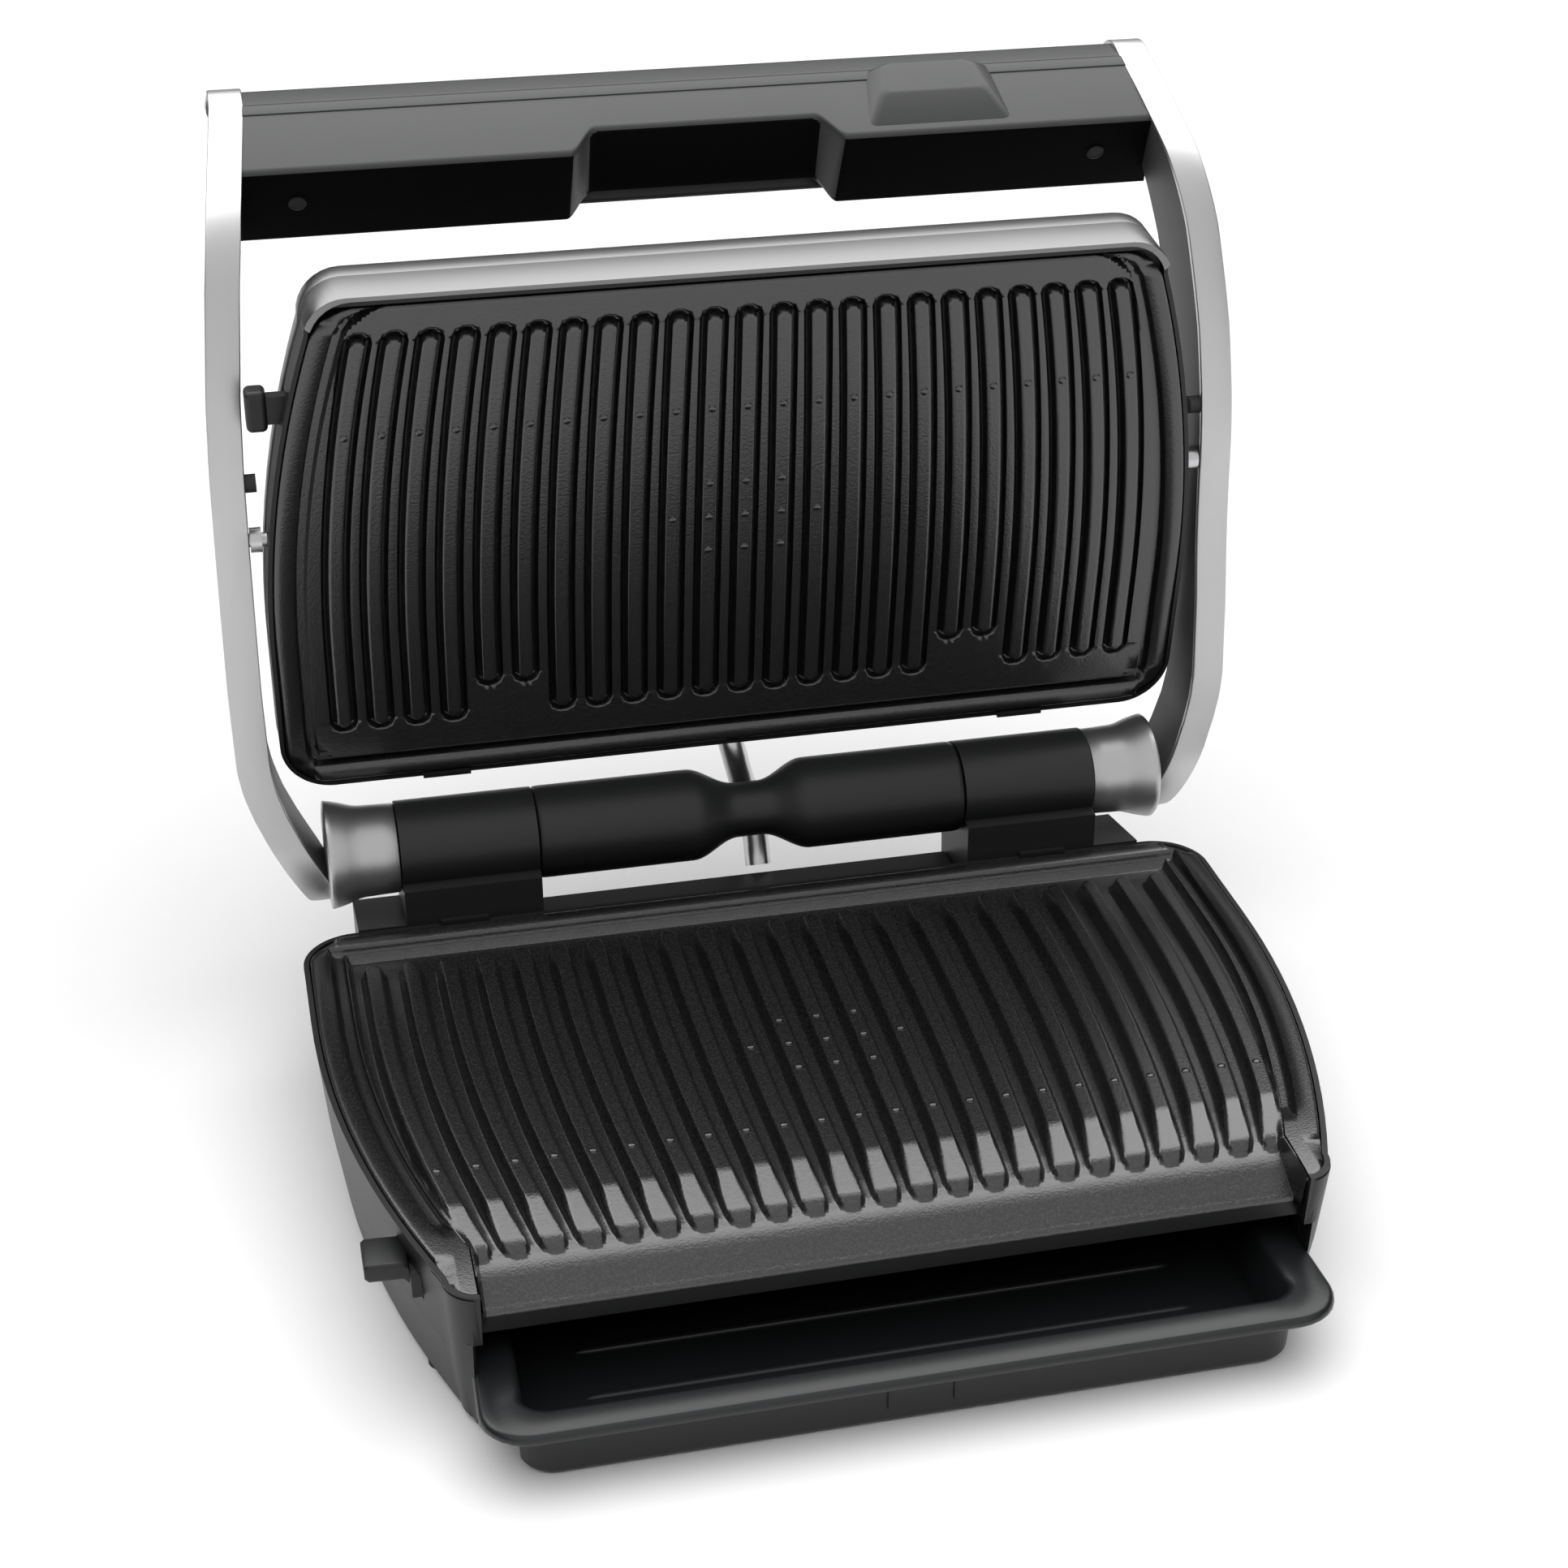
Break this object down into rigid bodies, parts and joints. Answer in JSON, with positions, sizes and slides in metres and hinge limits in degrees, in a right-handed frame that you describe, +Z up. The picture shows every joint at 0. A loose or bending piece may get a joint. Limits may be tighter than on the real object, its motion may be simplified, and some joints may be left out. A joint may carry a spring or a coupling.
{
  "type": "panini press",
  "caption": "Open electric contact grill with two ribbed plates, a floating lid on side arms, a bar handle and a front drip tray.",
  "frame": {"origin": "centre of the bounding box, on the table surface", "axes": "+X to the user's right, +Y to the back where the hinge is, +Z up"},
  "size_m": [0.4674, 0.459, 0.42],
  "materials": {
    "black_shell": "satin black moulded plastic",
    "board": "circuit board",
    "brushed_silver": "satin brushed",
    "button_grey": "satin",
    "conduit_chrome": "polished",
    "handle_black": "fine satin plastic",
    "lens": "smoked clear",
    "lid_silver": "satin brushed sheet",
    "nonstick": "speckled non-stick coating on cast aluminium",
    "reflector_metal": "plain sheet",
    "rubber": "matte",
    "steel": "plain",
    "tray_black": "semi-gloss black plastic"
  },
  "bodies": {
    "drip_tray": {"drip_tray": "tray_black"},
    "lower_release": {"lower_release_button": "black_shell"},
    "upper_release": {"upper_release_button": "black_shell"},
    "power_button": {"power_button": "button_grey"},
    "program_button": {"program_button": "button_grey"},
    "arm_frame": {"arm_left": "brushed_silver", "arm_right": "brushed_silver", "hub_left": "brushed_silver", "hub_right": "brushed_silver", "hinge_shaft": "steel", "hinge_tube": "black_shell", "handle_inner_cover": "handle_black", "handle_outer_cover": "handle_black", "indicator_lens": "lens", "control_board": "board", "tact_switches": "black_shell", "pivot_pin_left": "steel", "pivot_pin_right": "steel", "stop_post_left": "rubber", "stop_post_right": "rubber", "handle_screws": "steel"},
    "lid": {"upper_plate": "nonstick", "lid_frame": "black_shell", "lid_cover": "lid_silver", "lid_plate_hooks": "black_shell", "upper_reflector": "reflector_metal", "upper_heating_element": "steel", "upper_thermostat": "steel", "lid_screws": "steel", "conduit_upper": "conduit_chrome", "upper_button_spring": "steel"},
    "base": {"base_lower_shell": "black_shell", "base_plate_hooks": "black_shell", "base_screws": "steel", "base_upper_shell": "black_shell", "conduit_lower": "conduit_chrome", "hinge_bracket_left": "black_shell", "hinge_bracket_right": "black_shell", "lower_button_spring": "steel", "lower_heating_element": "steel", "lower_plate": "nonstick", "lower_reflector": "reflector_metal", "lower_thermostat": "steel", "mains_gland": "black_shell", "rear_bridge_cover": "black_shell", "rubber_feet": "rubber", "terminal_block": "black_shell", "thermal_fuse": "steel"}
  },
  "joints": [
    {"name": "lid_hinge", "type": "hinge", "parent": "base", "child": "arm_frame", "pos_m": [0, 0.102, 0.099], "axis": [1, 0, 0], "range_deg": [0, 98.8], "deforming": ["conduit_lower"]},
    {"name": "lid_level", "type": "hinge", "parent": "arm_frame", "child": "lid", "pos_m": [0, 0.1158, 0.2515], "axis": [1, 0, 0], "range_deg": [-16.8, 0], "deforming": ["conduit_upper"]},
    {"name": "tray_slide", "type": "slide", "parent": "base", "child": "drip_tray", "axis": [0, -1, 0], "range_m": [0, 0.16]},
    {"name": "lower_release_push", "type": "slide", "parent": "base", "child": "lower_release", "axis": [1, 0, 0], "range_m": [0, 0.003], "stiffness_N_per_m": 600, "springref_m": -0.001},
    {"name": "upper_release_push", "type": "slide", "parent": "lid", "child": "upper_release", "axis": [1, 0, 0], "range_m": [0, 0.003], "stiffness_N_per_m": 600, "springref_m": -0.001},
    {"name": "power_press", "type": "slide", "parent": "arm_frame", "child": "power_button", "axis": [0, -0.9578, 0.2873], "range_m": [0, 0.0007], "stiffness_N_per_m": 800, "springref_m": -0.0005},
    {"name": "program_press", "type": "slide", "parent": "arm_frame", "child": "program_button", "axis": [0, -0.9578, 0.2873], "range_m": [0, 0.0007], "stiffness_N_per_m": 800, "springref_m": -0.0005}
  ],
  "couplings": [
    {"joint": "lid_level", "follows": "lid_hinge", "ratio": -0.169}
  ]
}
